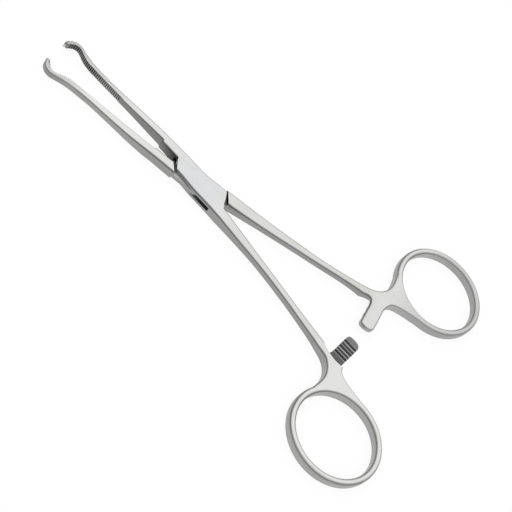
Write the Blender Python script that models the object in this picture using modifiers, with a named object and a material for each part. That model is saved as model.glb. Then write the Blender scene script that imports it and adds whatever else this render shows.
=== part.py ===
# Phalangeal clamp: a ring-handled, ratcheted bone clamp with a box lock.
# Modelled in millimetres about the pivot and handed over in metres, +Z up.
# Each half is drawn in the closed clamp: jaws toward -X, finger rings toward +X, pivot on Z.
import math

import bmesh
import bpy
import numpy as np
from mathutils import Matrix, Vector
from mathutils.geometry import interpolate_bezier

MM = 0.001

# How far each half is turned from the closed clamp to the opening it lies at
REST_TURN = math.radians(4.675)

# Thicknesses, all centred on the clamp's middle plane
BODY_THICK = 3.6
JAW_THICK = 2.2
SHANK_THICK = 2.35

# Jaws, and how far each inner face keeps from the clamp's middle line
JAW_LENGTH = 55.2
JAW_ROOT_WIDTH = 2.5
GRIP_WIDTH = 1.75
HOOK_WIDTH = 1.15
HOOK_REACH = 3.9
HOOK_RISE = 2.2
HOOK_FOOT = 11.0
TIP_WIDTH = 1.15
TIP_GAP = 0.06
GRIP_GAP = 0.5
THROAT_GAP = 1.0
LOCK_GAP = 0.35
STEP_RUN = 6.2

# Places on the straight of the jaw, as parts of the way from the hook's foot to the lock
TAPER_SHARE = 0.293
SERRATED_SHARE = 0.32

# The hook's edges, as parts of the way along and across
HOOK_INNER_SHARES = ((0.352, 0.117), (0.592, 0.397), (0.803, 0.774))
NOSE_INNER_SHARES = ((0.473, 0.206), (0.80, 0.658))
NOSE_OUTER_SHARES = ((0.064, 0.33), (0.256, 0.66), (0.564, 0.92))
HOOK_BACK_SHARES = ((0.282, 0.385), (0.592, 0.781))

# Cross serrations of the grip
SERRATION_PITCH = 0.62
SERRATION_DEPTH = 0.2
SERRATION_SHARE = 0.94

# Tooth at the tip of the box half, and the notch for it in the other tip
TOOTH_LENGTH = 0.85
TOOTH_THICK = 0.8
NOTCH_DEPTH = 1.2
NOTCH_CLEARANCE = 0.12
PRONG_LENGTH = 0.25

# Box lock
BOX_HALF_WIDTH = 3.75
BOX_FLARE = 1.25
THROUGH_HALF_WIDTH = 3.45
CHEEK_JAW_END = 9.4
CHEEK_SHANK_END = 9.8
CHEEK_SLANT = 2.3
CHEEK_LEAN = 2.9
SHOULDER_GAP = 0.75
SHANK_GAP_INNER = 0.58
SHANK_GAP_OUTER = 0.14
TENON_THICK = 1.3
TENON_PLAY = 0.08
SLOT_END = 7.2

# Pivot pin
PIN_RADIUS = 1.5
PIN_FIT = 0.03
PIN_PLAY = 0.08
PIN_SIDES = 48

# Shank and finger ring
SHOULDER_SWELL = 0.45
NECK_DEPTH = 9.5
NECK_RUN = 7.2
RING_X = 76.5
RING_Y = 26.5
HOLE_LENGTH = 25.6
HOLE_WIDTH = 24.4
RING_BAND = 2.0

# The box half's flared side, as parts of the cheek's far corner, and its shank-side cheek edge
FLARE_EDGE_SHARES = ((0.957, 0.985), (0.65, 0.75), (0.32, 0.35), (-0.07, 0.025), (-0.72, -0.025))
CHEEK_EDGE_SHARES = ((0.26, 0.215), (0.52, 0.535))

# Edges of the two shanks, as parts of the way along and parts of the way out to the neck
BOX_SHANK_OUTER_SHARES = ((0.07, 0.02), (0.22, 0.08), (0.38, 0.16), (0.53, 0.295), (0.69, 0.49),
                          (0.84, 0.715), (0.97, 0.93))
BOX_SHANK_INNER_SHARES = ((0.19, 0.15), (0.35, 0.31), (0.50, 0.46), (0.66, 0.63), (0.82, 0.795),
                          (0.95, 0.93))
THROUGH_SHANK_OUTER_SHARES = ((0.07, 0.05), (0.22, 0.16), (0.38, 0.275), (0.53, 0.40), (0.69, 0.535),
                              (0.84, 0.75), (0.97, 0.96))
THROUGH_SHANK_INNER_SHARES = ((0.19, 0.20), (0.35, 0.37), (0.50, 0.535), (0.66, 0.70), (0.82, 0.88),
                              (0.95, 0.99))

# The neck's two edges round the ratchet arm's foot
NECK_OUTER_SHARES = ((0.56, 0.10), (0.85, 0.25), (1.02, 0.45), (1.06, 0.70))
NECK_INNER_SHARES = ((0.26, 0.045), (0.57, 0.145), (0.80, 0.28), (0.925, 0.51))

# Ratchet; the arm's free end is drawn in widths across and back from it
RATCHET_X = 62.7
RATCHET_WIDTH = 4.5
RATCHET_OVERLAP = 2.6
RATCHET_ROOT = 9.2
RATCHET_ROOT_RADIUS = 10.0
TOOTH_PITCH = 2.75
RATCHET_TEETH = 3
FIRST_TOOTH = 5.45
TOOTH_RISE = 0.2
RATCHET_TOOTH_DEPTH = 0.6
RATCHET_PLAY = 0.06
LEAD_LENGTH = 0.9
LEAD_DROP = 0.3
ARM_END_SHARES = ((0.556, 0.356), (0.456, 0.111), (0.211, 0.0), (-0.211, 0.0), (-0.422, 0.111),
                  (-0.478, 0.356))
ARM_ROOT_SHARES = ((-0.044, 0.65), (-0.156, 0.76), (-0.422, 0.80), (-0.80, 0.76))

# Rounding of the forging's edges
BODY_ROUND = 0.45
JAW_ROUND = 0.3
TIP_ROUND = 0.2
RING_ROUND = 0.7
CHEEK_ROUND = 0.12
ROUND_STEPS = 3
TAPER_STEPS = 5

CURVE_STEPS = 4
FAR = 4.0


def clear_scene():
    for obj in list(bpy.data.objects):
        bpy.data.objects.remove(obj, do_unlink=True)


def new_collection(name):
    collection = bpy.data.collections.new(name)
    bpy.context.scene.collection.children.link(collection)
    return collection


def steel(name, colour, roughness):
    material = bpy.data.materials.new(name)
    material.use_nodes = True
    shader = material.node_tree.nodes["Principled BSDF"]
    shader.inputs["Base Color"].default_value = (*colour, 1.0)
    shader.inputs["Metallic"].default_value = 1.0
    shader.inputs["Roughness"].default_value = roughness
    return material


def smooth(points):
    """Points along one smooth curve that passes through the given ones."""
    knots = [Vector((x, y, 0.0)) for x, y in points]
    last = len(knots) - 1
    along = []
    for i, knot in enumerate(knots):
        before = knots[max(i - 1, 0)]
        after = knots[min(i + 1, last)]
        along.append((after - before).normalized())
    curve = []
    for i in range(last):
        reach = (knots[i + 1] - knots[i]).length / 3.0
        start = knots[i] + along[i] * reach
        end = knots[i + 1] - along[i + 1] * reach
        curve += interpolate_bezier(knots[i], start, end, knots[i + 1], CURVE_STEPS + 1)[:-1]
    curve.append(knots[last])
    return [(p.x, p.y) for p in curve]


def ellipse_arc(centre, radii, start, end, steps):
    """Points on an ellipse between two angles given in degrees."""
    points = []
    for i in range(steps + 1):
        angle = math.radians(start + (end - start) * i / steps)
        points.append((centre[0] + radii[0] * math.cos(angle),
                       centre[1] + radii[1] * math.sin(angle)))
    return points


def plate(name, loops, low, high):
    """A flat plate from closed outlines in XY: the first is its edge, the others are holes."""
    curve = bpy.data.curves.new(name, "CURVE")
    curve.dimensions = "2D"
    curve.fill_mode = "BOTH"
    curve.extrude = (high - low) / 2
    for loop in loops:
        spline = curve.splines.new("POLY")
        spline.points.add(len(loop) - 1)
        for point, (x, y) in zip(spline.points, loop):
            point.co = (x, y, 0.0, 1.0)
        spline.use_cyclic_u = True
    source = bpy.data.objects.new(name, curve)
    CUTTERS.objects.link(source)
    bpy.context.view_layer.update()
    mesh = bpy.data.meshes.new_from_object(source.evaluated_get(bpy.context.evaluated_depsgraph_get()))
    bpy.data.objects.remove(source)
    bpy.data.curves.remove(curve)
    mesh.transform(Matrix.Translation((0, 0, (low + high) / 2)))
    weld(mesh)
    return new_object(name, mesh)


def weld(mesh):
    bm = bmesh.new()
    bm.from_mesh(mesh)
    bmesh.ops.remove_doubles(bm, verts=bm.verts, dist=1e-5)
    bmesh.ops.recalc_face_normals(bm, faces=bm.faces)
    bm.to_mesh(mesh)
    bm.free()


def new_object(name, mesh):
    """An object kept with the cutters, out of sight, until it is placed as a finished piece."""
    obj = bpy.data.objects.new(name, mesh)
    CUTTERS.objects.link(obj)
    obj.hide_render = True
    obj.display_type = "WIRE"
    return obj


def combine(target, tool, operation):
    """Carries out one Boolean on the target's mesh and removes the tool."""
    step = target.modifiers.new(operation.title(), "BOOLEAN")
    step.operation = operation
    step.solver = "EXACT"
    step.object = tool
    apply_modifiers(target)
    bpy.data.objects.remove(tool)


def apply_modifiers(target):
    bpy.context.view_layer.update()
    result = bpy.data.meshes.new_from_object(target.evaluated_get(bpy.context.evaluated_depsgraph_get()))
    target.modifiers.clear()
    target.data = result


def cylinder(name, radius, low, high):
    bm = bmesh.new()
    bmesh.ops.create_cone(bm, cap_ends=True, segments=PIN_SIDES, radius1=radius, radius2=radius,
                          depth=high - low)
    bmesh.ops.translate(bm, verts=bm.verts, vec=(0, 0, (low + high) / 2))
    mesh = bpy.data.meshes.new(name)
    bm.to_mesh(mesh)
    bm.free()
    return new_object(name, mesh)


def jaw_at(part):
    """Place along the jaw, as a part of the way from the hook's foot to the lock."""
    foot = -JAW_LENGTH + HOOK_FOOT
    return foot + part * (-CHEEK_JAW_END - foot)


def jaw_inner(tip_gap):
    """Inner face of a jaw, from the lock out to the tip."""
    step = -CHEEK_JAW_END - STEP_RUN
    foot = (jaw_at(0.0), 0.9 * GRIP_GAP)
    hook = (-JAW_LENGTH + HOOK_REACH, HOOK_RISE)
    nose = (-JAW_LENGTH + TIP_WIDTH, tip_gap)
    face = [(step - LOCK_GAP, THROAT_GAP), (jaw_at(0.55), 0.6 * THROAT_GAP + 0.4 * GRIP_GAP),
            (jaw_at(0.28), 1.1 * GRIP_GAP), foot]
    face += between(foot, hook, HOOK_INNER_SHARES) + [hook]
    face += between(hook, nose, NOSE_INNER_SHARES) + [nose]
    return [(step, LOCK_GAP)] + smooth(face)


def jaw_outer(tip_gap, lock_width):
    """Outer side of a jaw, from the tip back to the lock."""
    grip = GRIP_GAP + GRIP_WIDTH
    root = THROAT_GAP + JAW_ROOT_WIDTH
    crown = (-JAW_LENGTH + HOOK_REACH, HOOK_RISE + HOOK_WIDTH)
    foot = (jaw_at(0.0), 0.987 * grip)
    side = [(-JAW_LENGTH, tip_gap)] + between((-JAW_LENGTH, 0.0), crown, NOSE_OUTER_SHARES) + [crown]
    side += between(crown, foot, HOOK_BACK_SHARES) + [foot]
    side += [(jaw_at(0.18), grip), (jaw_at(0.435), (grip + root) / 2), (jaw_at(0.62), 0.943 * root),
             (jaw_at(0.914), 0.987 * lock_width), (jaw_at(1.0), lock_width)]
    return smooth(side)


def between(start, end, parts):
    """Points given as parts of the way along and across from one point to another."""
    run = end[0] - start[0]
    rise = end[1] - start[1]
    return [(start[0] + run * along, start[1] + rise * across) for along, across in parts]


def ring_outline():
    """Outer edge of the finger ring, from one side of the neck right round to the other."""
    radii = (HOLE_LENGTH / 2 + RING_BAND, HOLE_WIDTH / 2 + RING_BAND)
    return ellipse_arc((RING_X, -RING_Y), radii, 157.5, 450.0, 52)


def handle_outer(shank, swell):
    """Outer edge of the shank from the lock to the neck, then round the finger ring."""
    ring = ring_outline()
    lock_end = (CHEEK_SHANK_END, -1.04 * BOX_HALF_WIDTH - swell)
    neck_start = (RATCHET_X - NECK_RUN, -NECK_DEPTH)
    edge = [(SLOT_END, -BOX_HALF_WIDTH - swell), lock_end]
    edge += between(lock_end, neck_start, shank)
    edge += [neck_start] + between(neck_start, ring[0], NECK_OUTER_SHARES) + ring[:1]
    return smooth(edge) + ring[1:]


def handle_inner(shank):
    """From the ring round the ratchet arm and along the shank's inner edge to the lock."""
    left = RATCHET_X - RATCHET_WIDTH / 2
    right = RATCHET_X + RATCHET_WIDTH / 2
    ring_end = ring_outline()[-1]
    arm_foot = (right, -0.74 * RATCHET_ROOT)
    neck = smooth([ring_end] + between(ring_end, arm_foot, NECK_INNER_SHARES) + [arm_foot])
    free_end = [(RATCHET_X + across * RATCHET_WIDTH, RATCHET_OVERLAP - back * RATCHET_WIDTH)
                for across, back in ARM_END_SHARES]
    arm = smooth([(right, -0.65 * RATCHET_ROOT)] + free_end
                 + [(left - 0.02 * RATCHET_WIDTH, -0.54 * RATCHET_ROOT)])
    root = [(left + across * RATCHET_WIDTH, -down * RATCHET_ROOT) for across, down in ARM_ROOT_SHARES]
    lock_end = (1.16 * CHEEK_SHANK_END, -0.86 * LOCK_GAP)
    root += list(reversed(between(lock_end, root[-1], shank))) + [lock_end]
    return neck[1:] + arm + smooth(root)


def cheek_edges():
    """Ends of the cheek's edge toward the jaw, and of its edge toward the shank."""
    jaw_edge = [(-CHEEK_JAW_END, 0.77 * LOCK_GAP), (-CHEEK_JAW_END + CHEEK_SLANT, -0.84 * BOX_HALF_WIDTH)]
    shank_edge = [(CHEEK_SHANK_END, -0.04 * BOX_HALF_WIDTH),
                  (CHEEK_SHANK_END - CHEEK_LEAN, BOX_HALF_WIDTH + BOX_FLARE)]
    return jaw_edge, shank_edge


def box_outline():
    """Outline of the box half: the cheeks span the whole lock."""
    cheek_jaw, (shank_start, corner) = cheek_edges()
    near_side = [(-0.48 * CHEEK_JAW_END, -0.867 * BOX_HALF_WIDTH), (0.0, -0.987 * BOX_HALF_WIDTH)]
    cheek_shank = smooth([shank_start] + between(shank_start, corner, CHEEK_EDGE_SHARES) + [corner])
    flare = [(along * corner[0], BOX_HALF_WIDTH + out * BOX_FLARE) for along, out in FLARE_EDGE_SHARES]
    far_side = smooth(flare + [(-0.915 * CHEEK_JAW_END, 0.98 * BOX_HALF_WIDTH)])
    outer = jaw_outer(TIP_GAP, 0.98 * BOX_HALF_WIDTH)
    handle = handle_outer(BOX_SHANK_OUTER_SHARES, 0.0) + handle_inner(BOX_SHANK_INNER_SHARES)
    return outer + (cheek_jaw + near_side + handle + cheek_shank + far_side)[::-1] + jaw_inner(TIP_GAP)


def through_outline():
    """Outline of the through half: jaw and shank joined by the slanting tenon."""
    slant_in = [(-1.085 * CHEEK_JAW_END, 0.94 * LOCK_GAP), (-0.053 * CHEEK_JAW_END, -1.013 * BOX_HALF_WIDTH)]
    slant_out = [(0.051 * CHEEK_SHANK_END, 1.058 * THROUGH_HALF_WIDTH),
                 (1.05 * CHEEK_SHANK_END, -0.08 * BOX_HALF_WIDTH)]
    handle = handle_outer(THROUGH_SHANK_OUTER_SHARES, SHOULDER_SWELL)
    handle += handle_inner(THROUGH_SHANK_INNER_SHARES)
    outer = jaw_outer(-PRONG_LENGTH, THROUGH_HALF_WIDTH)
    return outer + slant_out + (slant_in + handle)[::-1] + jaw_inner(-PRONG_LENGTH)


def thickness_stations():
    """Half thicknesses of the forging along its length, from the tip to the ring."""
    body = BODY_THICK / 2
    jaw = JAW_THICK / 2
    shank = SHANK_THICK / 2
    lock_jaw = jaw_at(0.93)
    lock_shank = 1.12 * CHEEK_SHANK_END
    arm = RATCHET_X - 0.61 * RATCHET_WIDTH
    grip_end = jaw_at(TAPER_SHARE)
    thin_from = lock_shank + 0.38 * (arm - lock_shank)
    thin_to = lock_shank + 0.67 * (arm - lock_shank)
    stations = []
    for i in range(TAPER_STEPS + 1):
        part = i / TAPER_STEPS
        stations.append((grip_end + part * (lock_jaw - grip_end), jaw + (body - jaw) * ease(part, 0.0, 1.0)))
    for i in range(TAPER_STEPS + 1):
        part = i / TAPER_STEPS
        stations.append((lock_shank + part * (thin_from - lock_shank),
                         shank + (body - shank) * (1.0 - part) ** 2))
    for i in range(TAPER_STEPS + 1):
        part = i / TAPER_STEPS
        stations.append((thin_to + part * (arm - thin_to), shank + (body - shank) * part ** 3))
    return stations


def ease(value, start, end):
    """0 before the start and 1 after the end, rising smoothly between them."""
    part = min(max((value - start) / (end - start), 0.0), 1.0)
    return part * part * (3.0 - 2.0 * part)


def taper(mesh):
    """Thins the rounded plate to the forging's thickness, flat between neighbouring stations."""
    stations = thickness_stations()
    places = [x for x, _ in stations]
    halves = [half for _, half in stations]
    bm = bmesh.new()
    bm.from_mesh(mesh)
    for x in places:
        everything = list(bm.verts) + list(bm.edges) + list(bm.faces)
        bmesh.ops.bisect_plane(bm, geom=everything, dist=1e-5, plane_co=(x, 0, 0), plane_no=(1, 0, 0))
    for vertex in bm.verts:
        vertex.co.z *= float(np.interp(vertex.co.x, places, halves)) * 2 / BODY_THICK
    bm.to_mesh(mesh)
    bm.free()


def forging(name, outline):
    """One half before its lock, teeth and serrations are cut."""
    hole = ellipse_arc((RING_X, -RING_Y), (HOLE_LENGTH / 2, HOLE_WIDTH / 2), 0.0, 354.0, 59)
    body = plate(name, [outline, hole], -BODY_THICK / 2, BODY_THICK / 2)
    merge_flat_faces(body.data)
    round_edges(body)
    taper(body.data)
    return body


def merge_flat_faces(mesh):
    """Joins faces in one plane, apart from the seam that halves the finger ring."""
    bm = bmesh.new()
    bm.from_mesh(mesh)
    everything = list(bm.verts) + list(bm.edges) + list(bm.faces)
    bmesh.ops.bisect_plane(bm, geom=everything, dist=1e-4, plane_co=(RING_X, 0, 0), plane_no=(1, 0, 0))
    flat = []
    for edge in bm.edges:
        if len(edge.link_faces) == 2 and edge.calc_face_angle() < math.radians(0.05):
            a, b = edge.verts
            on_seam = abs(a.co.x - RING_X) < 1e-3 and abs(b.co.x - RING_X) < 1e-3
            if not on_seam:
                flat.append(edge)
    bmesh.ops.dissolve_edges(bm, edges=flat, use_verts=False)
    straight = [v for v in bm.verts if len(v.link_edges) == 2]
    bmesh.ops.dissolve_verts(bm, verts=straight)
    bm.to_mesh(mesh)
    bm.free()


def edge_round(place):
    """Radius that the forging's edge has at a place."""
    jaw_edge, shank_edge = cheek_edges()
    on_jaw_edge = jaw_edge[0][0] - CHEEK_ROUND < place.x < jaw_edge[1][0] + CHEEK_ROUND
    on_shank_edge = shank_edge[1][0] - CHEEK_ROUND < place.x < shank_edge[0][0] + CHEEK_ROUND
    if on_jaw_edge and place.y < THROAT_GAP or on_shank_edge and place.y > shank_edge[0][1] - CHEEK_ROUND:
        return CHEEK_ROUND
    ring_top = -RING_Y + HOLE_WIDTH / 2 + RING_BAND
    if place.x > RATCHET_X - 0.67 * RATCHET_WIDTH and place.y < ring_top + CHEEK_ROUND:
        neck = Vector((RATCHET_X + 0.61 * RATCHET_WIDTH, ring_top - RING_ROUND))
        grown = ease((place.xy - neck).length, 0.125 * HOLE_WIDTH, 0.74 * HOLE_WIDTH)
        return BODY_ROUND + (RING_ROUND - BODY_ROUND) * grown
    radius = TIP_ROUND + (JAW_ROUND - TIP_ROUND) * ease(place.x, -JAW_LENGTH + TIP_WIDTH, jaw_at(0.0))
    return radius + (BODY_ROUND - JAW_ROUND) * ease(place.x, jaw_at(0.48), jaw_at(0.88))


def round_edges(obj):
    """Rounds the upper and lower edges, each by its own radius."""
    mesh = obj.data
    bm = bmesh.new()
    bm.from_mesh(mesh)
    weight = bm.edges.layers.float.new("bevel_weight_edge")
    for edge in bm.edges:
        if len(edge.link_faces) != 2 or edge.calc_face_angle() < math.radians(50):
            continue
        tilt = sorted(abs(face.normal.z) for face in edge.link_faces)
        if tilt[1] > 0.9 and tilt[0] < 0.1:
            middle = (edge.verts[0].co + edge.verts[1].co) / 2
            edge[weight] = edge_round(middle) / RING_ROUND
    bm.to_mesh(mesh)
    bm.free()
    step = obj.modifiers.new("Rounding", "BEVEL")
    step.limit_method = "WEIGHT"
    step.width = RING_ROUND
    step.segments = ROUND_STEPS
    step.use_clamp_overlap = False
    step.loop_slide = False
    apply_modifiers(obj)


def serration_comb():
    """Wedges that cut the cross serrations into the inner face of a jaw."""
    face = [p for p in jaw_inner(TIP_GAP)[1:-CURVE_STEPS] if p[0] < jaw_at(SERRATED_SHARE)]
    bm = bmesh.new()
    travelled = 0.0
    wanted = SERRATION_PITCH / 2
    for (x0, y0), (x1, y1) in zip(face, face[1:]):
        start = Vector((x0, y0, 0.0))
        run = Vector((x1, y1, 0.0)) - start
        along = run.normalized()
        into = Vector((0, 0, 1)).cross(-along)
        while wanted <= travelled + run.length:
            middle = start + along * (wanted - travelled)
            add_wedge(bm, middle, along, into)
            wanted += SERRATION_PITCH
        travelled += run.length
    mesh = bpy.data.meshes.new("serration_comb")
    bm.to_mesh(mesh)
    bm.free()
    return new_object("serration_comb", mesh)


def add_wedge(bm, middle, along, into):
    """One three-sided bar across the jaw, its sharp edge sunk into the face."""
    turn = Matrix((along, into, along.cross(into))).transposed().to_4x4()
    made = bmesh.ops.create_cone(bm, cap_ends=True, segments=3, radius1=1.0, radius2=1.0,
                                 depth=2 * JAW_THICK)
    spread = SERRATION_SHARE * SERRATION_PITCH / 2 / math.cos(math.radians(30))
    shape = Matrix.Diagonal((spread, SERRATION_DEPTH, 1.0, 1.0))
    bmesh.ops.transform(bm, matrix=Matrix.Translation(middle) @ turn @ shape, verts=made["verts"])


def ratchet_cutter():
    """Clears the upper half of the ratchet arm down to its teeth, with a rounded root."""
    crest = -RATCHET_PLAY
    valley = crest - RATCHET_TOOTH_DEPTH
    end = RATCHET_OVERLAP + FAR
    back = -RATCHET_ROOT - FAR
    profile = [(back, BODY_THICK), (back, valley)]
    steep = -FIRST_TOOTH
    for _ in range(RATCHET_TEETH):
        profile += [(steep, valley), (steep + TOOTH_RISE, crest)]
        steep += TOOTH_PITCH
    lead = crest - LEAD_DROP
    profile += [(steep - LEAD_LENGTH, lead), (end, lead), (end, BODY_THICK)]
    reach = 1.1 * RATCHET_ROOT_RADIUS
    cutter = plate("ratchet_cutter", [profile], RATCHET_X - reach, RATCHET_X + reach)
    stand = Matrix(((0, 0, 1, 0), (1, 0, 0, 0), (0, 1, 0, 0), (0, 0, 0, 1)))
    cutter.data.transform(stand)
    centre = (RATCHET_X, RATCHET_ROOT_RADIUS - RATCHET_ROOT)
    swept = ellipse_arc(centre, (RATCHET_ROOT_RADIUS, RATCHET_ROOT_RADIUS), 0.0, 352.5, 47)
    combine(cutter, plate("root_sweep", [swept], -FAR, FAR), "INTERSECT")
    return cutter


def make_box_half():
    half = forging("box_half", box_outline())
    slot_half = TENON_THICK / 2 + TENON_PLAY
    wide = 2 * BOX_HALF_WIDTH
    slot = [(-0.66 * CHEEK_JAW_END, 1.4 * BOX_HALF_WIDTH), (-1.15 * CHEEK_JAW_END, -0.13 * BOX_HALF_WIDTH),
            (-CHEEK_JAW_END, -wide), (0.833 * SLOT_END, -wide), (0.958 * SLOT_END, -1.08 * BOX_HALF_WIDTH),
            (1.1 * CHEEK_SHANK_END, 0.107 * BOX_HALF_WIDTH), (CHEEK_SHANK_END, wide),
            (-0.66 * CHEEK_JAW_END, wide)]
    combine(half, plate("slot", [slot], -slot_half, slot_half), "DIFFERENCE")
    combine(half, cylinder("pin_bore", PIN_RADIUS + PIN_FIT, -BODY_THICK, BODY_THICK), "DIFFERENCE")
    tip = -JAW_LENGTH
    seat = HOOK_RISE / 4
    tooth = [(tip + 0.07 * TIP_WIDTH, seat), (tip + 0.045 * TIP_WIDTH, -0.6 * TOOTH_LENGTH),
             (tip + 0.22 * TIP_WIDTH, -TOOTH_LENGTH), (tip + 0.435 * TIP_WIDTH, -TOOTH_LENGTH),
             (tip + 0.91 * TIP_WIDTH, seat)]
    combine(half, plate("tip_tooth", [tooth], -TOOTH_THICK / 2, TOOTH_THICK / 2), "UNION")
    combine(half, serration_comb(), "DIFFERENCE")
    combine(half, ratchet_cutter(), "DIFFERENCE")
    return half


def beside(start, end, start_gap, end_gap, overrun):
    """A line set off sideways from another, turned over with the through half, and run on at both ends."""
    run = Vector((end[0] - start[0], start[1] - end[1]))
    side = Vector((-run.y, run.x)).normalized()
    first = Vector((start[0], -start[1])) + side * start_gap - run * overrun
    last = Vector((end[0], -end[1])) + side * end_gap + run * overrun
    return tuple(first), tuple(last)


def make_through_half():
    half = forging("through_half", through_outline())
    tenon = TENON_THICK / 2
    wide = 2 * BOX_HALF_WIDTH
    jaw_edge, shank_edge = cheek_edges()
    jaw_side = beside(*jaw_edge, SHOULDER_GAP, SHOULDER_GAP, 0.35)
    shank_side = beside(*shank_edge, SHANK_GAP_INNER, SHANK_GAP_OUTER, 0.15)
    recess = [*jaw_side, (0.51 * CHEEK_SHANK_END, wide), *shank_side, (-0.53 * CHEEK_JAW_END, -wide)]
    combine(half, plate("upper_recess", [recess], tenon, BODY_THICK), "DIFFERENCE")
    combine(half, plate("lower_recess", [recess], -BODY_THICK, -tenon), "DIFFERENCE")
    combine(half, cylinder("pivot_bore", PIN_RADIUS + PIN_PLAY, -BODY_THICK, BODY_THICK), "DIFFERENCE")
    notch_half = TOOTH_THICK / 2 + NOTCH_CLEARANCE
    left = -JAW_LENGTH - TIP_WIDTH
    notch = [(left, -TIP_WIDTH), (-JAW_LENGTH + 2.0 * TIP_WIDTH, -TIP_WIDTH),
             (-JAW_LENGTH + 1.4 * TIP_WIDTH, NOTCH_DEPTH), (left, NOTCH_DEPTH)]
    combine(half, plate("tip_notch", [notch], -notch_half, notch_half), "DIFFERENCE")
    combine(half, serration_comb(), "DIFFERENCE")
    combine(half, ratchet_cutter(), "DIFFERENCE")
    return half


def make_pin():
    return cylinder("pivot_pin", PIN_RADIUS, -BODY_THICK / 2, BODY_THICK / 2)


def place(obj, material, turn):
    """Gives a finished piece its material and its place, and its mesh in metres."""
    obj.data.transform(Matrix.Scale(MM, 4))
    obj.data.materials.clear()
    obj.data.materials.append(material)
    obj.data.shade_smooth()
    obj.data.set_sharp_from_angle(angle=math.radians(30))
    CUTTERS.objects.unlink(obj)
    PARTS.objects.link(obj)
    obj.hide_render = False
    obj.display_type = "TEXTURED"
    obj.location = (0, 0, BODY_THICK / 2 * MM)
    obj.rotation_euler = turn


clear_scene()
PARTS = new_collection("phalangeal_clamp")
CUTTERS = new_collection("cutters")
satin_steel = steel("satin_steel", (0.62, 0.62, 0.60), 0.38)
pin_steel = steel("pin_steel", (0.66, 0.66, 0.64), 0.30)

box_half = make_box_half()
through_half = make_through_half()
pivot_pin = make_pin()

# The through half is the same forging blank turned over about the clamp's length
place(box_half, satin_steel, (0, 0, -REST_TURN))
place(through_half, satin_steel, (math.pi, 0, REST_TURN))
place(pivot_pin, pin_steel, (0, 0, 0))
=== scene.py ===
# A phalangeal clamp in satin stainless steel, lying open on a white ground.
# Lengths are in millimetres about the pivot; finished pieces are in metres, in the frame's own place.
import math

import bmesh
import bpy
import numpy as np
from mathutils import Matrix, Vector
from mathutils.geometry import interpolate_bezier


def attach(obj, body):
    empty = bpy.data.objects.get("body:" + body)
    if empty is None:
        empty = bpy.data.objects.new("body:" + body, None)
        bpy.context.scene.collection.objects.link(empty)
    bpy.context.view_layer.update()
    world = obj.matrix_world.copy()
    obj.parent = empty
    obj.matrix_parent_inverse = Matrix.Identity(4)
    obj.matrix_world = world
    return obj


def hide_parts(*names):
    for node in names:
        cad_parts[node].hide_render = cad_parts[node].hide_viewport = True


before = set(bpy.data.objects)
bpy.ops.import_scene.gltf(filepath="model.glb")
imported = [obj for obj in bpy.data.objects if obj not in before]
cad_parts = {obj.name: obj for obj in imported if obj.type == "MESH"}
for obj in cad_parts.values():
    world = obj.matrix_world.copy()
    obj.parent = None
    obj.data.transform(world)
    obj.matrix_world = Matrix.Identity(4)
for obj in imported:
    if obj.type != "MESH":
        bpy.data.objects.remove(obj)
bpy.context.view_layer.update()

MM = 0.001

# How far each half is turned about the pivot, from the way its outline is drawn to the way it lies
REST_TURN = math.radians(4.675)

# Thicknesses, all centred on the clamp's middle plane
BODY_THICK = 3.6
JAW_THICK = 2.2
SHANK_THICK = 2.35

# Jaws, and how far each inner face keeps from the clamp's middle line
JAW_LENGTH = 55.2
JAW_ROOT_WIDTH = 2.5
GRIP_WIDTH = 1.75
HOOK_WIDTH = 1.15
HOOK_REACH = 3.9
HOOK_RISE = 2.2
HOOK_FOOT = 11.0
TIP_WIDTH = 1.15
TIP_GAP = 0.06
GRIP_GAP = 0.5
THROAT_GAP = 1.0
LOCK_GAP = 0.35
STEP_RUN = 6.2

# Places on the straight of the jaw, as parts of the way from the hook's foot to the lock
TAPER_SHARE = 0.293
SERRATED_SHARE = 0.32

# The hook's edges, as parts of the way along and across
HOOK_INNER_SHARES = ((0.352, 0.117), (0.592, 0.397), (0.803, 0.774))
NOSE_INNER_SHARES = ((0.473, 0.206), (0.80, 0.658))
NOSE_OUTER_SHARES = ((0.064, 0.33), (0.256, 0.66), (0.564, 0.92))
HOOK_BACK_SHARES = ((0.282, 0.385), (0.592, 0.781))

# Cross serrations of the grip, deeper on the through half
SERRATION_PITCH = 0.62
SERRATION_DEPTH = 0.33
THROUGH_SERRATION_DEPTH = 1.4 * SERRATION_DEPTH
SERRATION_SHARE = 0.94

# Tooth at the tip of the box half, and the notch for it in the other tip
TOOTH_LENGTH = 0.85
TOOTH_THICK = 0.8
NOTCH_DEPTH = 1.2
NOTCH_CLEARANCE = 0.12
PRONG_LENGTH = 0.25

# Box lock
BOX_HALF_WIDTH = 3.75
BOX_FLARE = 1.25
THROUGH_HALF_WIDTH = 3.45
CHEEK_JAW_END = 9.4
CHEEK_SHANK_END = 9.8
CHEEK_SLANT = 2.3
CHEEK_LEAN = 2.9
TENON_THICK = 1.3
TENON_PLAY = 0.08
SLOT_END = 7.2

# Gap between the cheeks and the shoulders of the through half, toward the jaw and toward the shank, at
# both ends of each shoulder, and how far each shoulder's cut runs on past its ends
JAW_GAP_INNER = 0.75
JAW_GAP_OUTER = 0.45
JAW_OVERRUN = 0.35
SHANK_GAP_INNER = 0.58
SHANK_GAP_OUTER = 0.14
SHANK_OVERRUN = 0.15

# Place along the clamp where the inner faces of the jaws step in toward the middle line
STEP = -CHEEK_JAW_END - STEP_RUN

# Pivot pin
PIN_RADIUS = 1.5
PIN_FIT = -0.004
PIN_PLAY = 0.08
PIN_SIDES = 96

# Shank and finger ring
SHOULDER_SWELL = 0.45
NECK_DEPTH = 9.5
NECK_RUN = 7.2
RING_X = 76.5
RING_Y = 26.5
HOLE_LENGTH = 25.6
HOLE_WIDTH = 24.4
RING_BAND = 2.0
RING_START = 157.5
RING_END = 450.0

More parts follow.
